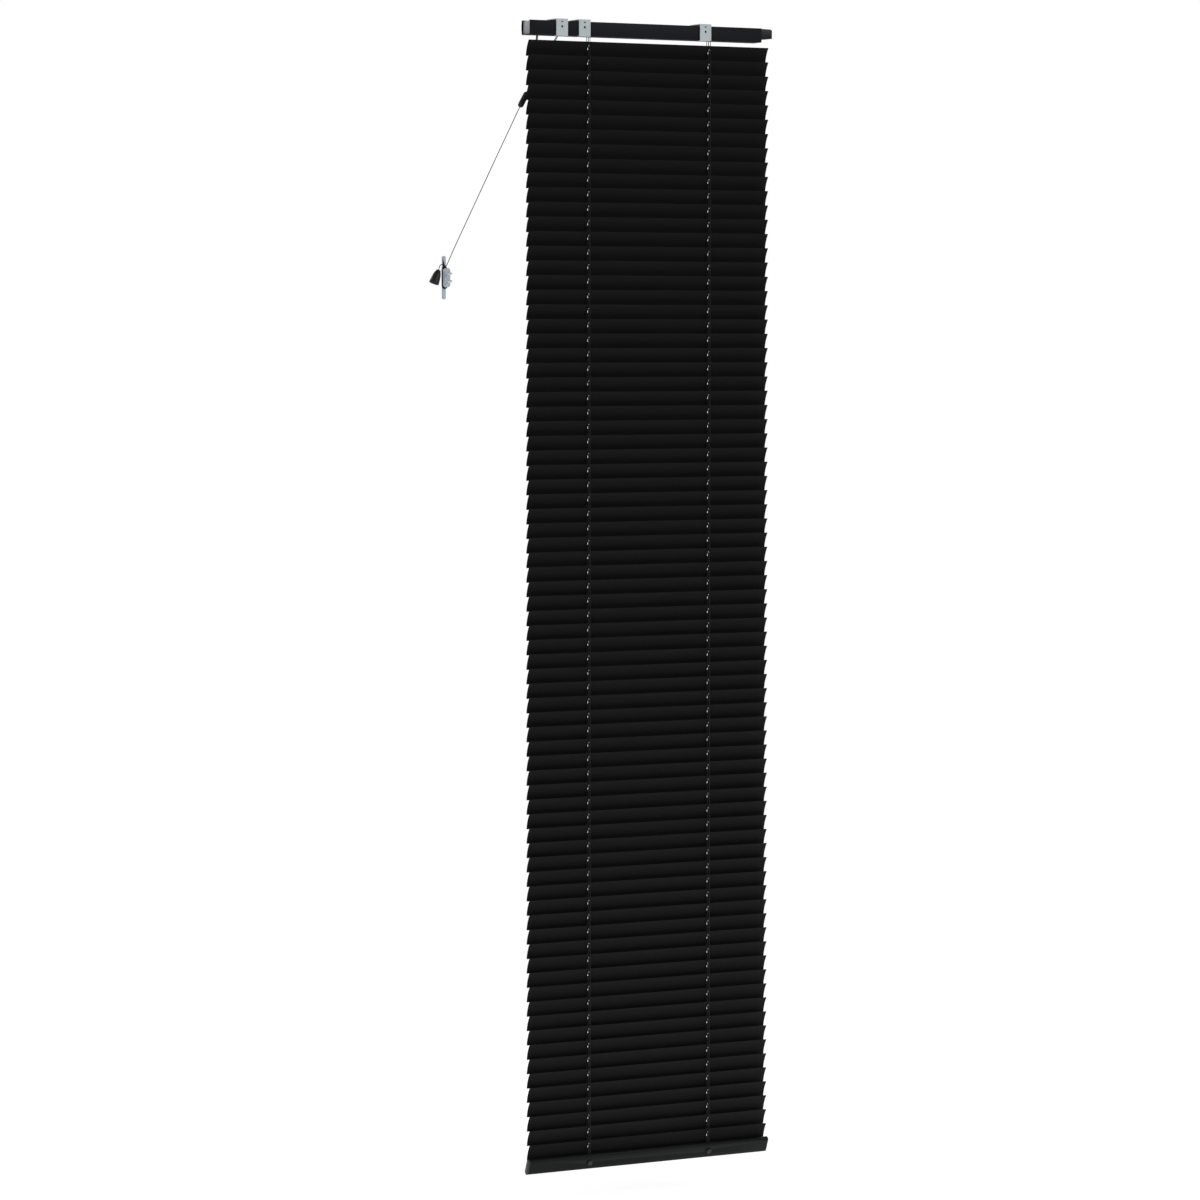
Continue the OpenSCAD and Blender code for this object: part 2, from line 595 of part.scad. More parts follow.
module bottom_rail() color([0.03, 0.03, 0.03]) on_foot() difference() {
    translate([blind_x - foot_end + cap_plate, 0, 0]) along_x(2 * (foot_end - cap_plate)) difference() {
        pill(foot_width, foot_r);
        pill(foot_width - 2 * foot_sheet, foot_r - foot_sheet);
    }
    for (x = ladder_x) translate([x, 0, -foot_thickness]) cylinder(r = 2.6, h = foot_thickness, $fn = 32);
}

module bottom_rail_caps() color([0.03, 0.03, 0.03]) on_foot() for (s = [-1, 1]) {
    translate([blind_x + s * (foot_end - cap_plate / 2) - cap_plate / 2, 0, 0]) along_x(cap_plate) pill(foot_width, foot_r);
    translate([blind_x + s * (foot_end - cap_plate - 4) - 4, 0, 0]) along_x(8)
        pill(foot_width - 2 * (foot_sheet + fit), foot_r - foot_sheet - fit);
}

module ladder_plugs() color([0.03, 0.03, 0.03]) on_foot() for (x = ladder_x) {
    translate([x, 0, -foot_r - plug_height]) cylinder(r = plug_r, h = plug_height, $fn = 40);
    translate([x, 0, -foot_r - 0.5]) cylinder(r = 2.6 - fit, h = 3, $fn = 32);
}

headrail();
headrail_cap_control();
headrail_cap_far();
bracket_1();
bracket_2();
bracket_3();
tilter_housing();
tilter_worm();
tilter_gear();
tilt_rod();
ladder_drum_1();
ladder_drum_2();
cradle_1();
cradle_2();
cord_lock_housing();
cord_lock_roller();
cord_lock_pin();
lift_cords();
cord_tails();
cord_connector();
pull_cord();
cleat_winding();
tassel();
cleat();
cleat_screws();
wand_coupling();
wand();
wand_grip();
ladder_wall_side();
ladder_room_side();
bottom_rail();
bottom_rail_caps();
ladder_plugs();
slats_between();
for (n = SLATS) slat(n);
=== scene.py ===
"""A venetian blind on wall brackets: black slats on two ladders, a tilter with a wand, and a lift cord on its cleat."""

import json
import math

import bmesh
import bpy
from mathutils import Matrix, Vector

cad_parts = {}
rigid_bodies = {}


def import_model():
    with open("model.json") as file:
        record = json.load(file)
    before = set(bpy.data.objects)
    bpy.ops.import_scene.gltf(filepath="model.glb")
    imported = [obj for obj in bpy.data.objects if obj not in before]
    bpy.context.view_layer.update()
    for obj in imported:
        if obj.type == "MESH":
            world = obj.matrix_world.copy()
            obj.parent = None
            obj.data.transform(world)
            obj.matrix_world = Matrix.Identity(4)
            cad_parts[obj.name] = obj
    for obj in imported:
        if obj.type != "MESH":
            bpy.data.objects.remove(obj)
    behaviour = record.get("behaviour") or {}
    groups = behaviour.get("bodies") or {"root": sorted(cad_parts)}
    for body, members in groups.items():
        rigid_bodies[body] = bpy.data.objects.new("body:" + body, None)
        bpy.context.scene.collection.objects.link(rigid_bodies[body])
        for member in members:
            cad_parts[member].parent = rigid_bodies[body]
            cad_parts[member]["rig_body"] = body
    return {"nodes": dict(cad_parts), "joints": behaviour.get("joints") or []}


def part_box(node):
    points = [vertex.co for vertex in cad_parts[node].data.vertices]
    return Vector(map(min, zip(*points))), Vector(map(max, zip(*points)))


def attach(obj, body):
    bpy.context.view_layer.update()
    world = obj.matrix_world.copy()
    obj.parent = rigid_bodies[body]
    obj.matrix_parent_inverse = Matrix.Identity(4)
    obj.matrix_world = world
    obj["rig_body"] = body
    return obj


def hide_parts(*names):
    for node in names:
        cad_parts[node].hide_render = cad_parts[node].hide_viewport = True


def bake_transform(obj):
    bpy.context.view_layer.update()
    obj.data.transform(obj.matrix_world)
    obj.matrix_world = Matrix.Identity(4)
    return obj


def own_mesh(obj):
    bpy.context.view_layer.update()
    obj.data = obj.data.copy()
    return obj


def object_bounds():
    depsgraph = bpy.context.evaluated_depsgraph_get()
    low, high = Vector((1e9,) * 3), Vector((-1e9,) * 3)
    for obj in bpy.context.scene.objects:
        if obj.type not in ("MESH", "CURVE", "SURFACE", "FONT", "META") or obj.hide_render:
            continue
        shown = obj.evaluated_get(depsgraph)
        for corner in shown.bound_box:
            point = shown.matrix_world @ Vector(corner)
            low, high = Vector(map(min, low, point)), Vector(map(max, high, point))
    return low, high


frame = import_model()
cad_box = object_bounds()

MM = 0.001
TURN = 2 * math.pi


# ---- sizes and places, from the frame and in metres ----
joints = {joint["name"]: joint for joint in frame["joints"]}


def pivot(joint):
    return Vector(joints[joint]["pos_m"])


def middle(node):
    low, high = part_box(node)
    return (low + high) / 2


SLAT_COUNT = 77
MIDDLE_SLATS = range(2, SLAT_COUNT + 1, 3)       # the slats that have a body of their own
slat_pitch = (pivot("slat_02_tilt").z - pivot("slat_05_tilt").z) / 3
blind = pivot("slat_02_tilt")
slat_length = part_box("slat_02")[1].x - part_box("slat_02")[0].x
closed_turn = math.radians(joints["foot_tilt"]["range_deg"][1])
ladder_places = [middle("ladder_drum_1").x, middle("ladder_drum_2").x]
axle = pivot("tilt")

SLAT_WIDTH = 25 * MM
SLAT_CROWN = 1.6 * MM
SLAT_SHEET = 0.3 * MM
SLAT_CORNER = 1 * MM
SLOT_LENGTH = 7.5 * MM
SLOT_OFF_CENTRE = 2.95 * MM      # towards where the lift cord crosses a closed slat
SLOT_WIDTH = 1.4 * MM
LADDER_D = 1 * MM
LADDER_Y = 5.4 * MM            # of each string from the middle of the blind
RUNG_D = 0.7 * MM
RUNG_REACH = 13 * MM           # from the middle of a slat to each string
CORD_D = 1.2 * MM


def slat_centre(n):
    return Vector((blind.x, blind.y, blind.z - (n - 2) * slat_pitch))


# ---- node trees ----
class Value:
    """A node's socket, on which sums are written as expressions."""

    def __init__(self, graph, socket):
        self.graph, self.socket = graph, socket

    def maths(self, operation, *values):
        numbered = dict(enumerate(values))
        return self.graph.node("ShaderNodeMath", {"operation": operation}, numbered)

    def __add__(self, other):
        return self.maths("ADD", self, other)

    def __sub__(self, other):
        return self.maths("SUBTRACT", self, other)

    def __rsub__(self, other):
        return self.maths("SUBTRACT", other, self)

    def __mul__(self, other):
        return self.maths("MULTIPLY", self, other)

    def __truediv__(self, other):
        return self.maths("DIVIDE", self, other)

    def __pow__(self, other):
        return self.maths("POWER", self, other)

    __radd__ = __add__
    __rmul__ = __mul__

    def sine(self):
        return self.maths("SINE", self)

    def size(self):
        return self.maths("ABSOLUTE", self)

    def whole(self):
        return self.maths("FLOOR", self)

    def larger(self, other):
        return self.maths("MAXIMUM", self, other)

    def ramp(self, low, high):
        """0 below low and 1 above high, with a smooth step between them."""
        settings = {"interpolation_type": "SMOOTHSTEP"}
        return self.graph.node("ShaderNodeMapRange", settings, {"Value": self, "From Min": low, "From Max": high})


class Graph:
    """A node tree, with one method that makes any node."""

    def __init__(self, tree):
        self.tree = tree

    def node(self, kind, settings=None, sockets=None, output=0):
        made = self.tree.nodes.new(kind)
        for name, value in (settings or {}).items():
            if name == "captures":
                for item, data_type in value:
                    made.capture_items.new(data_type, item)
            else:
                setattr(made, name, value)
        for name, value in (sockets or {}).items():
            for one in value if isinstance(value, list) else [value]:
                self.join(one, self.find(made.inputs, name))
        return Value(self, self.find(made.outputs, output))

    def find(self, sockets, name):
        if isinstance(name, int):
            return sockets[name]
        return next(s for s in sockets if s.name == name and s.enabled)

    def join(self, value, socket):
        if isinstance(value, Value):
            self.tree.links.new(value.socket, socket)
        else:
            socket.default_value = value

    def parts(self, vector):
        """The X, Y and Z of a vector."""
        first = self.node("ShaderNodeSeparateXYZ", sockets={0: vector})
        return [Value(self, socket) for socket in first.socket.node.outputs]

    def vector(self, x, y, z):
        return self.node("ShaderNodeCombineXYZ", sockets={0: x, 1: y, 2: z})


class Finish(Graph):
    """A material: its Principled shader's own values, and what varies over the surface."""

    def __init__(self, name, **values):
        self.material = bpy.data.materials.new(name)
        self.material.use_nodes = True
        super().__init__(self.material.node_tree)
        self.shader = self.tree.nodes["Principled BSDF"]
        for socket, value in values.items():
            self.set(socket.replace("_", " "), value)

    def set(self, socket, value):
        self.join(value, self.shader.inputs[socket])

    def coordinates(self, output="Object"):
        return self.node("ShaderNodeTexCoord", output=output)

    def noise(self, where, scale, detail=3.0):
        sockets = {"Vector": where, "Scale": scale, "Detail": detail}
        return self.node("ShaderNodeTexNoise", sockets=sockets)

    def blend(self, factor, first, second):
        """From the first colour to the second."""
        settings = {"data_type": "RGBA"}
        sockets = {0: factor, 6: (*first, 1) if isinstance(first, tuple) else first, 7: (*second, 1)}
        return self.node("ShaderNodeMix", settings, sockets, output=2)

    def stretched(self, where, scale):
        return self.node("ShaderNodeMapping", sockets={"Vector": where, "Scale": scale})

    def bump(self, height, distance, strength=1.0):
        sockets = {"Height": height, "Distance": distance, "Strength": strength}
        self.set("Normal", self.node("ShaderNodeBump", sockets=sockets))


class Growth(Graph):
    """A geometry tree with named inputs. It ends in Realize Instances and Set Material."""

    KINDS = {"Geometry": "NodeSocketGeometry", "Material": "NodeSocketMaterial", "Place": "NodeSocketVector"}

    def __init__(self, name, inputs):
        super().__init__(bpy.data.node_groups.new(name, "GeometryNodeTree"))
        for item in inputs:
            self.tree.interface.new_socket(item, in_out="INPUT", socket_type=self.KINDS.get(item, "NodeSocketFloat"))
        self.tree.interface.new_socket("Geometry", in_out="OUTPUT", socket_type="NodeSocketGeometry")
        self.inputs = self.tree.nodes.new("NodeGroupInput")

    def given(self, name):
        return Value(self, self.inputs.outputs[name])

    def end(self, geometry):
        real = self.node("GeometryNodeRealizeInstances", sockets={"Geometry": geometry})
        sockets = {"Geometry": real, "Material": self.given("Material")}
        done = self.node("GeometryNodeSetMaterial", sockets=sockets)
        self.join(done, self.tree.nodes.new("NodeGroupOutput").inputs[0])

    def place(self, geometry, position):
        return self.node("GeometryNodeSetPosition", sockets={"Geometry": geometry, "Position": position})

    def map_of(self, geometry, u, v):
        """Stores a UV map whose first axis is u and whose second is v."""
        settings = {"data_type": "FLOAT2", "domain": "CORNER"}
        sockets = {"Geometry": geometry, "Name": "UVMap", "Value": self.vector(u, v, 0)}
        return self.node("GeometryNodeStoreNamedAttribute", settings, sockets)

    def thread(self, curve, diameter, sides):
        """A round thread along a curve, with its length in diameters as U and its round as V."""
        radius = diameter / 2
        circle = self.node("GeometryNodeCurvePrimitiveCircle", sockets={"Resolution": sides, "Radius": radius})
        parameter = self.node("GeometryNodeSplineParameter", output="Length")
        factor = self.node("GeometryNodeSplineParameter", output="Factor")
        settings = {"captures": [("held", "FLOAT")]}
        along = self.node("GeometryNodeCaptureAttribute", settings, {"Geometry": curve, "held": parameter})
        round_it = self.node("GeometryNodeCaptureAttribute", settings, {"Geometry": circle, "held": factor})
        u = Value(self, self.find(along.socket.node.outputs, "held")) / diameter
        v = Value(self, self.find(round_it.socket.node.outputs, "held"))
        sockets = {"Curve": along, "Profile Curve": round_it, "Fill Caps": True}
        return self.map_of(self.node("GeometryNodeCurveToMesh", sockets=sockets), u, v)


def grown(name, growth, data, **inputs):
    """The plain mesh object that a geometry tree makes from these inputs."""
    piece = bpy.data.objects.new(name, data)
    bpy.context.scene.collection.objects.link(piece)
    modifier = piece.modifiers.new("growth", "NODES")
    modifier.node_group = growth.tree
    for item in growth.tree.interface.items_tree:
        if item.in_out == "INPUT" and item.name in inputs:
            modifier[item.identifier] = inputs[item.name]
    graph = bpy.context.evaluated_depsgraph_get()
    mesh = bpy.data.meshes.new_from_object(piece.evaluated_get(graph), depsgraph=graph)
    bpy.data.objects.remove(piece)
    return shown(name, mesh)


# ---- meshes ----
SHARP = math.radians(35)


def shown(name, mesh, *finishes):
    """A new piece, smooth but for its sharp edges."""
    piece = bpy.data.objects.new(name, mesh)
    bpy.context.scene.collection.objects.link(piece)
    mesh.shade_smooth()
    mesh.set_sharp_from_angle(angle=SHARP)
    for finish in finishes:
        mesh.materials.append(finish.material)
    return piece


def stands_for(piece, slot, *nodes):
    """The piece rides where its first CAD node does and replaces them all."""
    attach(piece, frame["nodes"][nodes[0]]["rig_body"])
    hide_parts(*nodes)
    return piece


def mesh_of(made, name):
    bmesh.ops.recalc_face_normals(made, faces=made.faces)
    mesh = bpy.data.meshes.new(name)
    made.to_mesh(mesh)
    made.free()
    return mesh


def softened(node, slot, finish, radius, segments=2):
    """A CAD node's shape with its sharp edges rounded."""
    made = bmesh.new()
    made.from_mesh(frame["nodes"][node].data)
    bmesh.ops.remove_doubles(made, verts=made.verts, dist=1e-6)
    bmesh.ops.dissolve_limit(made, angle_limit=math.radians(1), verts=made.verts, edges=made.edges)
    sharp = [e for e in made.edges if len(e.link_faces) == 2 and e.calc_face_angle(0) > SHARP]
    bmesh.ops.bevel(made, geom=sharp, offset=radius, segments=segments, profile=0.5, affect="EDGES",
                    clamp_overlap=True)
    return stands_for(shown(node + "_moulded", mesh_of(made, node), finish), slot, node)


def turned(name, finish, start, end, profile, steps=40):
    """A lathe piece about the line from start to end. Each point of the profile is its place along, and its radius."""
    start, end = Vector(start), Vector(end)
    line = (end - start).normalized()
    side = line.orthogonal().normalized()
    other = line.cross(side)
    made = bmesh.new()
    rings = []
    for along, radius in profile:
        centre = start + line * along
        if radius == 0:
            rings.append([made.verts.new(centre)])
            continue
        angles = [TURN * k / steps for k in range(steps)]
        rings.append([made.verts.new(centre + radius * (math.cos(a) * side + math.sin(a) * other)) for a in angles])
    for one, two in zip(rings, rings[1:]):
        for k in range(steps):
            corners = [one[k % len(one)], one[(k + 1) % len(one)], two[(k + 1) % len(two)], two[k % len(two)]]
            made.faces.new(list(dict.fromkeys(corners)))
    return shown(name, mesh_of(made, name), finish)


def smooth_path(points, step):
    """Points along the smooth curve through these points, about a step apart."""
    points = [Vector(p) for p in points]
    ends = [2 * points[0] - points[1], *points, 2 * points[-1] - points[-2]]
    path = [points[0]]
    for before, a, b, after in zip(ends, ends[1:], ends[2:], ends[3:]):
        pieces = max(1, math.ceil((b - a).length / step))
        for i in range(1, pieces + 1):
            t = i / pieces
            bend = (2 * before - 5 * a + 4 * b - after) * t * t + (3 * a - before - 3 * b + after) * t ** 3
            path.append((2 * a + (b - before) * t + bend) / 2)
    return path


def path_length(path):
    return sum((b - a).length for a, b in zip(path, path[1:]))


def cord_growth():
    """A round cord along the curve that it is given."""
    growth = Growth("cord_along_a_line", ["Geometry", "Diameter", "Sides", "Material"])
    growth.end(growth.thread(growth.given("Geometry"), growth.given("Diameter"), growth.given("Sides")))
    return growth


def corded(name, finish, paths, diameter, sides=12):
    """One piece of cord along each of these paths."""
    line = bpy.data.curves.new(name, "CURVE")
    line.dimensions = "3D"
    for path in paths:
        spline = line.splines.new("POLY")
        spline.points.add(len(path) - 1)
        for point, place in zip(spline.points, path):
            point.co = (*place, 1)
    return grown(name, CORD_GROWTH, line, Diameter=diameter, Sides=float(sides), Material=finish.material)


# ---- camera, light and floor ----
LENS = 137.43
SENSOR = 36
EYE = (3.2716, 5.9357, -0.4638)
YAW = math.radians(150.951)
PITCH = math.radians(-3.2455)


def camera():
    data = bpy.data.cameras.new("camera")
    data.lens, data.sensor_width = LENS, SENSOR
    eye = bpy.data.objects.new("camera", data)
    eye.location = EYE
    eye.rotation_euler = (math.pi / 2 + PITCH, 0, YAW)
    bpy.context.scene.collection.objects.link(eye)
    bpy.context.scene.camera = eye


def softbox(name, place, size, power):
    """A square light that faces the middle of the blind."""
    data = bpy.data.lights.new(name, "AREA")
    data.shape, data.size, data.energy = "SQUARE", size, power
    light = bpy.data.objects.new(name, data)
    light.location = place
    aim = (cad_box[0] + cad_box[1]) / 2 - Vector(place)
    light.rotation_euler = aim.to_track_quat("-Z", "Y").to_euler()
    bpy.context.scene.collection.objects.link(light)


SOFTBOX_SIZE = 2.4
KEY_POWER, FILL_POWER = 60, 40    # watts
ROOM_GLOW = 0.25                  # the white surroundings' light on the blind; the camera sees them at 1


def studio():
    softbox("key", (-2.2, 4.2, 1.6), SOFTBOX_SIZE, KEY_POWER)
    softbox("fill", (4.6, 2.6, 0.4), SOFTBOX_SIZE, FILL_POWER)
    softbox("room_key", (2.4, -4.2, 1.6), SOFTBOX_SIZE, KEY_POWER)
    softbox("room_fill", (-4.4, -2.6, 0.2), SOFTBOX_SIZE, FILL_POWER)
    world = bpy.data.worlds.new("white_room")
    world.use_nodes = True
    graph = Graph(world.node_tree)
    seen = graph.node("ShaderNodeLightPath", output="Is Camera Ray")
    background = world.node_tree.nodes["Background"]
    background.inputs["Color"].default_value = (1, 1, 1, 1)
    graph.join(seen * (1 - ROOM_GLOW) + ROOM_GLOW, background.inputs["Strength"])
    bpy.context.scene.world = world
    bpy.context.scene.view_settings.view_transform = "Standard"


FLOOR_DROP = 60 * MM
FLOOR_RADIUS = 3.2


def floor():
    """A round pale floor that fades out towards its rim."""
    paint = Finish("pale_floor", Base_Color=(0.95, 0.95, 0.95, 1), Roughness=0.9,
                   Emission_Color=(1, 1, 1, 1), Emission_Strength=0.6)
    x, y, _ = paint.parts(paint.coordinates())
    distance = (x * x + y * y) ** 0.5
    paint.set("Alpha", 1 - distance.ramp(0.3 * FLOOR_RADIUS, 0.95 * FLOOR_RADIUS))
    made = bmesh.new()
    bmesh.ops.create_circle(made, cap_ends=True, segments=96, radius=FLOOR_RADIUS)
    centre = (cad_box[0] + cad_box[1]) / 2
    level = cad_box[0].z - FLOOR_DROP
    bmesh.ops.translate(made, verts=made.verts, vec=(centre.x, centre.y, level))
    shown("floor", mesh_of(made, "floor"), paint)


# ---- finishes ----
def enamel(name, colour, dust_wear_and_highlight, roughness, grain):
    """Sprayed paint with a faint peel, dust that lies in soft patches, and paler slat edges: partly edge wear, partly a
    painted highlight along the rims.
    """
    paint = Finish(name, Specular_IOR_Level=0.12)
    where = paint.coordinates()
    patches = paint.noise(where, 9.0).ramp(0.42, 0.7)
    _, across, _ = paint.parts(paint.coordinates("UV"))
    # paler rims across the slat's UV: a painted highlight along the edges, partly also edge wear
    rim_wear_and_highlight = across.size().ramp(0.47, 0.5)
    fine = paint.noise(where, grain, 2.0)
    # the paler colour serves the dust patches and the rims, where it is a painted highlight as well as wear
    paint.set("Base Color", paint.blend(patches * 0.35 + rim_wear_and_highlight * 0.65, colour, dust_wear_and_highlight))
    paint.set("Roughness", roughness + fine * 0.1 + patches * 0.08)
    paint.bump(fine, 0.03 * MM, 0.5)
    return paint


def plastic(name, colour, darker, roughness, grain=900.0):
    """Moulded plastic: a fine spark-eroded grain and slow changes of tone."""
    paint = Finish(name, Specular_IOR_Level=0.4)
    where = paint.coordinates()
    slow = paint.noise(where, 60.0).ramp(0.35, 0.7)
    fine = paint.noise(where, grain, 2.0)
    paint.set("Base Color", paint.blend(slow, colour, darker))
    paint.set("Roughness", roughness + fine * 0.12)
    paint.bump(fine, 0.04 * MM, 0.4)
    return paint


def bare_metal(name, colour, darker, roughness, stretch):
    """Metal with fine drawing lines along one axis."""
    metal = Finish(name, Metallic=1.0)
    where = metal.coordinates()
    lines = metal.noise(metal.stretched(where, stretch), 400.0, 4.0)
    tarnish = metal.noise(where, 120.0).ramp(0.4, 0.75)
    metal.set("Base Color", metal.blend(tarnish, colour, darker))
    metal.set("Roughness", roughness + lines * 0.25)
    metal.bump(lines, 0.02 * MM, 0.5)
    return metal


BRAID_ROUND = 4        # strands each way round the cord
BRAID_LENGTH = 3.2     # diameters in one turn of a strand


def braid(name, colour, crest_highlight_and_fuzz):
    """A braided cord: strands that wind both ways and cross over each other. Its colour has painted shade in the
    grooves and a painted highlight on the crests, with random fuzz.
    """
    yarn = Finish(name, Roughness=0.75, Specular_IOR_Level=0.25, Sheen_Weight=0.15)
    along, round_it, _ = yarn.parts(yarn.coordinates("UV"))
    lead = along * (TURN / BRAID_LENGTH * BRAID_ROUND / 2)
    spin = round_it * (TURN * BRAID_ROUND)
    height = (spin + lead).sine().larger((spin - lead).sine())
    fuzz = yarn.noise(yarn.coordinates(), 3000.0, 2.0)
    # painted shade and highlight: the strands' height darkens the grooves and lightens the crests; the fuzz is real
    # random tone
    yarn.set("Base Color", yarn.blend(height.ramp(0.1, 1.0) * 0.6 + fuzz * 0.4, colour, crest_highlight_and_fuzz))
    yarn.bump(height + fuzz * 0.4, 0.1 * MM, 0.7)
    return yarn


CORD_GROWTH = cord_growth()
slat_enamel = enamel("slat_enamel", (0.0058, 0.0058, 0.006), (0.0095, 0.0095, 0.01), 0.6, 700.0)
rail_enamel = enamel("headrail_enamel", (0.0115, 0.0122, 0.0142), (0.016, 0.017, 0.0195), 0.45, 700.0)
foot_enamel = enamel("bottom_rail_enamel", (0.0062, 0.0068, 0.007), (0.011, 0.012, 0.012), 0.4, 700.0)
bracket_enamel = enamel("bracket_enamel", (0.7, 0.77, 0.79), (0.6, 0.66, 0.68), 0.42, 900.0)
cap_plastic = plastic("cap_plastic", (0.43, 0.44, 0.45), (0.38, 0.39, 0.4), 0.42)
black_plastic = plastic("black_plastic", (0.008, 0.008, 0.009), (0.012, 0.012, 0.013), 0.36)
clear_black = plastic("wand_plastic", (0.007, 0.007, 0.008), (0.01, 0.01, 0.011), 0.22)
nylon = plastic("nylon", (0.72, 0.71, 0.67), (0.66, 0.65, 0.6), 0.45)
cleat_plastic = plastic("cleat_plastic", (0.6, 0.68, 0.76), (0.55, 0.63, 0.71), 0.34)
steel = bare_metal("drawn_steel", (0.5, 0.51, 0.53), (0.4, 0.41, 0.42), 0.28, (0.02, 1, 1))
worm_plastic = plastic("worm_plastic", (0.21, 0.215, 0.22), (0.17, 0.175, 0.18), 0.4)
brass = bare_metal("roller_brass", (0.62, 0.45, 0.17), (0.5, 0.35, 0.13), 0.25, (0.05, 1, 1))
zinc = bare_metal("screw_zinc", (0.95, 0.95, 0.96), (0.88, 0.88, 0.89), 0.4, (1, 0.1, 1))
black_cord = braid("black_cord", (0.004, 0.004, 0.0045), (0.014, 0.014, 0.015))


# ---- free cords ----
def in_metres(points):
    return [Vector(p) * MM for p in points]


# From the headrail to the connector, and from there to the cleat and the tassel
TAIL_A = in_metres([[32, -25.5, -16.7], [33.2, -26, -19.7], [37, -27.5, -26], [43, -29.5, -36],
                    [53, -30.5, -54], [64, -30.5, -74], [73.5, -31.8, -91.5], [78.1, -33, -100.3]])
TAIL_B = in_metres([[34, -25.5, -16.7], [35.2, -26, -19.7], [39, -27.5, -26], [45, -29.5, -36],
                    [55, -30.5, -54], [66, -30.5, -74], [75.2, -31.8, -90.8], [79.7, -33, -99.4]])
PULL = in_metres([[91.6, -33, -122.1], [93, -32.8, -124.5], [110, -29.8, -154], [140, -24.6, -206],
                  [180, -17.4, -276], [210, -11.6, -328], [225, -8.2, -354.6]])
TASSEL_TAIL = in_metres([[229.6, -9.1, -354.6], [231.5, -9, -353.6], [234.2, -8.8, -354.2],
                         [236.4, -8.6, -356.6], [237.6, -8.5, -360], [237.9, -8.5, -361.7]])
CONNECTOR = in_metres([[79, -33, -100.1], [91.4, -33, -121.6]])
TASSEL = in_metres([[238, -8.5, -362], [246, -8.5, -381.5]])

# The cleat's stem, and the cord's turns round it
STEM_MIDDLE = Vector((227.5, 0, -373)) * MM
STEM_RADIUS = 2.4 * MM
STEM_STRAIGHT = 22.8 * MM
INNER = STEM_RADIUS + 0.75 * MM        # of the cord's middle in the first layer
OUTER = INNER + 1.3 * MM              # and in the second
NEAR_WALL, NEAR_HORN = 7.75 * MM, 10.45 * MM
LEAVING = 9.4 * MM
STEPS_PER_TURN = 24


def round_stem(turns, radius, depth):
    """A point of the winding: turns are counted clockwise from the top of the stem."""
    quarter = math.pi * radius / 2
    whole = 4 * quarter + 2 * STEM_STRAIGHT
    s = (turns % 1) * whole
    half = STEM_STRAIGHT / 2
    if s < quarter:
        x, z = radius * math.sin(s / radius), half + radius * math.cos(s / radius)
    elif s < quarter + STEM_STRAIGHT:
        x, z = radius, half - (s - quarter)
    elif s < 3 * quarter + STEM_STRAIGHT:
        angle = (s - quarter - STEM_STRAIGHT) / radius
        x, z = radius * math.cos(angle), -half - radius * math.sin(angle)
    elif s < 3 * quarter + 2 * STEM_STRAIGHT:
        x, z = -radius, -half + (s - 3 * quarter - STEM_STRAIGHT)
    else:
        angle = (whole - s) / radius
        x, z = -radius * math.sin(angle), half + radius * math.cos(angle)
    return STEM_MIDDLE + Vector((x, -depth, z))


def winding():
    """Nearly two turns in the first layer, out towards the horns, and one turn back over it."""
    first, climb, back, last = 0.05, 1.7, 1.95, 2.93
    count = round((last - first) * STEPS_PER_TURN)
    points = []
    for i in range(count + 1):
        turns = first + (last - first) * i / count
        rise = min(1, (turns - first) / (climb - first))
        swell = min(1, max(0, (turns - climb) / (back - climb)))
        fall = max(0, (turns - back) / (last - back))
        depth = NEAR_WALL + (NEAR_HORN - NEAR_WALL) * rise - (NEAR_HORN - LEAVING) * fall
        points.append(round_stem(turns, INNER + (OUTER - INNER) * swell, depth))
    return points


def connector():
    """The blunt barrel that joins the cords, in two halves that screw together."""
    profile = [(0, 0), (0, 2.2), (0.4, 3), (1.2, 3.7), (2.6, 4.1), (5, 4.25), (8, 4.3), (11.6, 4.3), (11.8, 4.05),
               (12.3, 4.05), (12.5, 4.3), (20.5, 4.3), (22.2, 4.1), (23.6, 3.5), (24.4, 2.6), (24.8, 1.6), (24.8, 0)]
    piece = turned("connector_moulded", black_plastic, *CONNECTOR, [(a * MM, r * MM) for a, r in profile], 48)
    return stands_for(piece, "black_plastic", "cord_connector")


TASSEL_LENGTH = 21.0


def tassel():
    """A bell with a beaded neck and a hollow foot."""
    profile = [(0, 0), (0, 2.5), (0.3, 3.2), (1, 3.7), (1.7, 3.4), (2.2, 3.5), (3.5, 4.5), (6, 5.3), (9, 6),
               (13, 6.6), (16.5, 7), (18.8, 7.25), (19.6, 7.4), (20.4, 7.4), (20.9, 7.1), (TASSEL_LENGTH, 6.6),
               (18.5, 6), (16.5, 4.2), (16.5, 0)]
    piece = turned("tassel_moulded", black_plastic, *TASSEL, [(a * MM, r * MM) for a, r in profile], 48)
    return stands_for(piece, "black_plastic", "tassel")


def free_cords():
    joiner, bell = connector(), tassel()
    for name, points in (("cord_tail_a", TAIL_A), ("cord_tail_b", TAIL_B)):
        path = smooth_path(points, CORD_D)
        tail = stands_for(corded(name, black_cord, [path], CORD_D), "cord", "cord_tails")
        path_length(path)
    path = smooth_path(PULL + winding() + TASSEL_TAIL, CORD_D)
    pull = stands_for(corded("pull_cord_braided", black_cord, [path], CORD_D), "cord", "pull_cord", "cleat_winding")
    path_length(path)


# ---- slats and ladders ----
STRIPS = 12
CORNER_STEPS = 4


def rounded(width, height, radius, steps):
    """The outline of a rectangle with round corners, about the origin."""
    points = []
    for corner in range(4):
        sx, sy = (1, 1, -1, -1)[corner], (-1, 1, 1, -1)[corner]
        for k in range(steps + 1):
            angle = math.pi / 2 * (corner - 1 + k / steps)
            x = sx * (width / 2 - radius) + radius * math.cos(angle)
            y = sy * (height / 2 - radius) + radius * math.sin(angle)
            points.append((x, y))
    return points


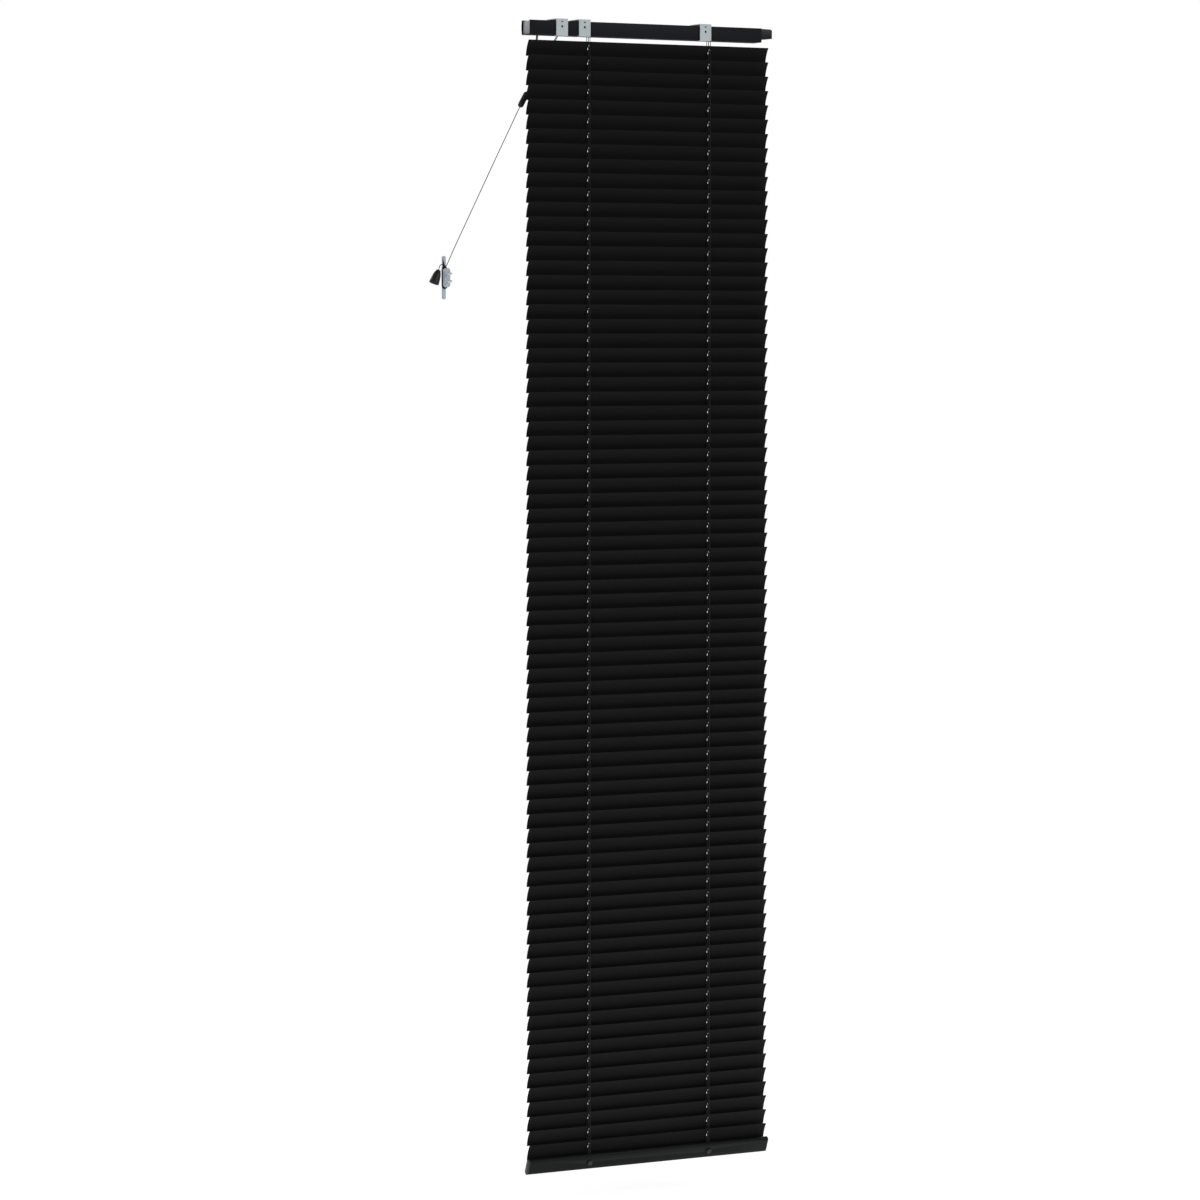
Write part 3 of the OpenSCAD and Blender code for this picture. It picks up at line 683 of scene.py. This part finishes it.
def slat_blank():
    """A flat slat with round corners and two slots, cut into strips so that it can be curved."""
    made = bmesh.new()
    outlines = [rounded(slat_length, SLAT_WIDTH, SLAT_CORNER, CORNER_STEPS)]
    slot = rounded(SLOT_WIDTH, SLOT_LENGTH, SLOT_WIDTH / 2 - 0.01 * MM, CORNER_STEPS)
    off = math.copysign(SLOT_OFF_CENTRE, math.tan(closed_turn))
    outlines += [[(x + place - blind.x, y + off) for x, y in slot] for place in ladder_places]
    for outline in outlines:
        corners = [made.verts.new((x, y, 0)) for x, y in outline]
        for a, b in zip(corners, corners[1:] + corners[:1]):
            made.edges.new((a, b))
    bmesh.ops.triangle_fill(made, use_beauty=True, edges=made.edges, normal=(0, 0, 1))
    for strip in range(1, STRIPS):
        level = SLAT_WIDTH * (strip / STRIPS - 0.5)
        everything = [*made.verts, *made.edges, *made.faces]
        bmesh.ops.bisect_plane(made, geom=everything, plane_co=(0, level, 0), plane_no=(0, 1, 0))
    for face in made.faces:
        face.normal_update()
    downward = [face for face in made.faces if face.normal.z < 0]
    bmesh.ops.reverse_faces(made, faces=downward)
    mesh = bpy.data.meshes.new("slat_blank")
    made.to_mesh(mesh)
    made.free()
    return mesh


def slat_growth():
    """Curves a flat slat, gives it its thickness, turns it and puts it in its place."""
    growth = Growth("slat", ["Geometry", "Width", "Crown", "Sheet", "Turn", "Shift", "Place", "Material"])
    x, y, _ = growth.parts(growth.node("GeometryNodeInputPosition"))
    across = y / growth.given("Width")
    curved = growth.vector(x, y, growth.given("Crown") * (1 - across * across * 4))
    mapped = growth.map_of(growth.given("Geometry"), x + growth.given("Shift"), across)
    sheet = growth.place(mapped, curved)
    sockets = {"Mesh": sheet, "Offset Scale": growth.given("Sheet"), "Individual": False}
    top = growth.node("GeometryNodeExtrudeMesh", sockets=sockets)
    under = growth.node("GeometryNodeFlipFaces", sockets={"Mesh": sheet})
    both = growth.node("GeometryNodeJoinGeometry", sockets={"Geometry": [top, under]})
    closed = growth.node("GeometryNodeMergeByDistance", sockets={"Geometry": both, "Distance": 0.01 * MM})
    sockets = {"Geometry": closed, "Translation": growth.given("Place"),
               "Rotation": growth.vector(growth.given("Turn"), 0, 0)}
    growth.end(growth.node("GeometryNodeTransform", sockets=sockets))
    return growth


RUNG_SPREAD = 1.3 * MM
RUNG_POINTS = 15


def rung_growth():
    """The rungs under one slat: at each ladder two threads that part round the slot and meet at the strings."""
    growth = Growth("rungs", ["First", "Second", "Reach", "Width", "Crown", "Diameter", "Turn", "Place", "Material"])
    line = growth.node("GeometryNodeCurvePrimitiveLine", sockets={"End": (1, 0, 0)})
    line = growth.node("GeometryNodeResampleCurve", sockets={"Curve": line, "Count": RUNG_POINTS})
    copies = growth.node("GeometryNodeDuplicateElements", {"domain": "SPLINE"}, {"Geometry": line, "Amount": 4})
    index = Value(growth, growth.find(copies.socket.node.outputs, "Duplicate Index"))
    at_second = (index / 2 + 0.01).whole()
    side = (index - at_second * 2) * 2 - 1
    t = growth.node("GeometryNodeSplineParameter", output="Factor") * 2 - 1
    start, stop = growth.given("First"), growth.given("Second")
    x = start + (stop - start) * at_second + side * (1 - (t * t) ** 3) * RUNG_SPREAD
    y = t * growth.given("Reach")
    across = y / growth.given("Width")
    z = growth.given("Crown") * (1 - across * across * 4) - growth.given("Diameter") * 0.53
    bent = growth.place(copies, growth.vector(x, y, z))
    sockets = {"Geometry": growth.thread(bent, growth.given("Diameter"), 6), "Translation": growth.given("Place"),
               "Rotation": growth.vector(growth.given("Turn"), 0, 0)}
    growth.end(growth.node("GeometryNodeTransform", sockets=sockets))
    return growth


def hang(piece, n):
    """Slat n turns with the nearest slat that has a body. A neighbour is also carried along to keep its own place."""
    carrier = min(MIDDLE_SLATS, key=lambda m: abs(m - n))
    body = f"slat_{carrier:02d}"
    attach(piece, body)
    offset = slat_centre(n) - slat_centre(carrier)
    if offset.length > 0:
        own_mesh(piece)
    return carrier == n


def slats():
    growth, blank = slat_growth(), slat_blank()
    for n in range(1, SLAT_COUNT + 1):
        piece = grown(f"slat_{n:02d}_curved", growth, blank, Width=SLAT_WIDTH, Crown=SLAT_CROWN, Sheet=SLAT_SHEET,
                      Turn=closed_turn, Shift=0.37 * n, Place=slat_centre(n), Material=slat_enamel.material)
        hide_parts(f"slat_{n:02d}" if hang(piece, n) else "slats_between")


def rungs():
    growth = rung_growth()
    first, second = (place - blind.x for place in ladder_places)
    for n in range(1, SLAT_COUNT + 1):
        piece = grown(f"ladder_rungs_{n:02d}", growth, bpy.data.meshes.new("rungs"), First=first, Second=second,
                      Reach=RUNG_REACH, Width=SLAT_WIDTH, Crown=SLAT_CROWN, Diameter=RUNG_D, Turn=closed_turn,
                      Place=slat_centre(n), Material=black_cord.material)
        hang(piece, n)


def ladder_strings():
    """Each side's strings come down from the top of the drums."""
    for side, node, body in ((1, "ladder_wall_side", "ladder_wall"), (-1, "ladder_room_side", "ladder_room")):
        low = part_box(node)[0].z
        paths = []
        for x in ladder_places:
            arc = [math.radians(a) for a in range(90, -1, -10)]
            over = [Vector((x, axle.y + side * LADDER_Y * math.cos(a), axle.z + LADDER_Y * math.sin(a))) for a in arc]
            paths.append(over + smooth_path([over[-1], Vector((x, over[-1].y, low))], 8 * MM)[1:])
        piece = corded(node + "_braided", black_cord, paths, LADDER_D, 8)
        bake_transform(piece)
        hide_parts(node)


# The lift cords' way along the headrail, from each ladder to the cord lock
LOCK_X = 33 * MM
CORD_LEVEL = -13.7 * MM
CORD_RUNS = [7.2 * MM, 9.2 * MM]


def lift_cord_route(i):
    """Up through the slats, over the floor of the headrail, and down out of the cord lock."""
    x, y, z = ladder_places[i], blind.y + CORD_RUNS[i], CORD_LEVEL
    out = LOCK_X + (-1 if i == 0 else 1) * MM
    across = [(x, blind.y, z - 3 * MM), (x, blind.y + 0.4 * MM, z - MM), (x + 0.3 * MM, blind.y + 1.6 * MM, z),
              (x + MM, y - 2 * MM, z), (x + 3 * MM, y - 0.2 * MM, z), (x + 6 * MM, y, z), (out - 4 * MM, y, z),
              (out - 1.2 * MM, y - 1.2 * MM, z), (out, y - 4 * MM, z), (out, blind.y - 7 * MM, z),
              (out, blind.y - 9.4 * MM, z - 0.9 * MM), (out, blind.y - 10 * MM, z - 3.2 * MM)]
    return [Vector(p) for p in [(x, blind.y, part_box("lift_cords")[0].z), *across]]


def lift_cords():
    for i, name in enumerate(("lift_cord_near", "lift_cord_far")):
        route = lift_cord_route(i)
        path = smooth_path(route[:2], 4 * CORD_D) + smooth_path(route[1:], CORD_D)[1:]
        stands_for(corded(name, black_cord, [path], CORD_D, 10), "cord", "lift_cords")


# ---- hard parts ----
def thread_growth():
    """A screw's thread: a ridge that winds round a line along Z from the place that it is given."""
    growth = Growth("screw_thread", ["Turns", "Start", "Finish", "Height", "Ridge", "Lean", "Place", "Material"])
    sockets = {"Resolution": 24, "Rotations": growth.given("Turns"), "Start Radius": growth.given("Start"),
               "End Radius": growth.given("Finish"), "Height": growth.given("Height")}
    spiral = growth.node("GeometryNodeCurveSpiral", sockets=sockets)
    profile = growth.node("GeometryNodeCurvePrimitiveCircle",
                          sockets={"Resolution": 4, "Radius": growth.given("Ridge")})
    sockets = {"Curve": spiral, "Profile Curve": profile, "Fill Caps": True}
    ridge = growth.node("GeometryNodeCurveToMesh", sockets=sockets)
    sockets = {"Geometry": ridge, "Translation": growth.given("Place"),
               "Rotation": growth.vector(growth.given("Lean"), 0, 0)}
    growth.end(growth.node("GeometryNodeTransform", sockets=sockets))
    return growth


def joined(name, *pieces):
    """One piece made of several."""
    made = bmesh.new()
    materials = []
    for piece in pieces:
        material = piece.data.materials[0]
        if material not in materials:
            materials.append(material)
        before = len(made.faces)
        made.from_mesh(piece.data)
        made.faces.ensure_lookup_table()
        for face in made.faces[before:]:
            face.material_index = materials.index(material)
        bpy.data.objects.remove(piece)
    mesh = bpy.data.meshes.new(name)
    made.to_mesh(mesh)
    made.free()
    for material in materials:
        mesh.materials.append(material)
    return shown(name, mesh)


SCREW_CORE = 1.25
SCREW_PITCH = 1.5


def cleat_screws(threads):
    """Two wood screws with pan heads, which come out behind the base into the wall."""
    low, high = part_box("cleat_screws")
    size = (high.y - low.y) / MM
    profile = [(0, 0), (0, 2.2), (0.25, 2.75), (0.7, 3), (1.4, 3), (1.6, 2.8), (1.6, SCREW_CORE + 0.3),
               (8, SCREW_CORE + 0.3), (8.4, SCREW_CORE), (size - 3, SCREW_CORE), (size, 0)]
    pieces = []
    for z in (low.z + 3 * MM, high.z - 3 * MM):
        head = Vector((STEM_MIDDLE.x, low.y, z))
        tip = Vector((STEM_MIDDLE.x, high.y, z))
        pieces.append(turned("screw", zinc, head, tip, [(a * MM, r * MM) for a, r in profile], 32))
        pieces.append(grown("thread", threads, bpy.data.meshes.new("thread"), Turns=(size - 13) / SCREW_PITCH,
                            Start=SCREW_CORE * MM, Finish=SCREW_CORE * MM, Height=(size - 13) * MM,
                            Ridge=0.5 * MM, Lean=-math.pi / 2, Place=head + Vector((0, 9 * MM, 0)),
                            Material=zinc.material))
    stands_for(joined("cleat_screws_threaded", *pieces), "screw_plate", "cleat_screws")


def hard_parts():
    for node in ("bracket_1", "bracket_2", "bracket_3"):
        softened(node, "bracket_paint", bracket_enamel, 0.3 * MM)
    softened("headrail", "headrail_paint", rail_enamel, 0.3 * MM)
    softened("headrail_cap_control", "grey_plastic", cap_plastic, 0.4 * MM)
    softened("headrail_cap_far", "black_plastic", black_plastic, 0.8 * MM, 3)
    softened("tilter_housing", "white_nylon", nylon, 0.3 * MM)
    softened("tilter_worm", "grey_plastic", worm_plastic, 0.15 * MM)
    softened("tilter_gear", "white_nylon", nylon, 0.12 * MM)
    softened("tilt_rod", "steel", steel, 0.15 * MM)
    for node in ("ladder_drum_1", "ladder_drum_2", "cradle_1", "cradle_2", "cord_lock_housing"):
        softened(node, "white_nylon", nylon, 0.25 * MM)
    softened("cord_lock_roller", "brass", brass, 0.2 * MM)
    softened("cord_lock_pin", "steel", steel, 0.15 * MM)
    softened("cleat", "cleat_plastic", cleat_plastic, 0.6 * MM, 3)
    softened("wand_coupling", "grey_plastic", cap_plastic, 0.3 * MM)
    softened("wand", "wand_plastic", clear_black, 0.35 * MM)
    softened("wand_grip", "wand_plastic", clear_black, 0.3 * MM)
    softened("bottom_rail", "foot_paint", foot_enamel, 0.2 * MM)
    softened("bottom_rail_caps", "black_plastic", black_plastic, 0.4 * MM)
    softened("ladder_plugs", "black_plastic", black_plastic, 0.4 * MM)
    cleat_screws(thread_growth())


camera()
free_cords()
slats()
rungs()
ladder_strings()
lift_cords()
hard_parts()
floor()
studio()
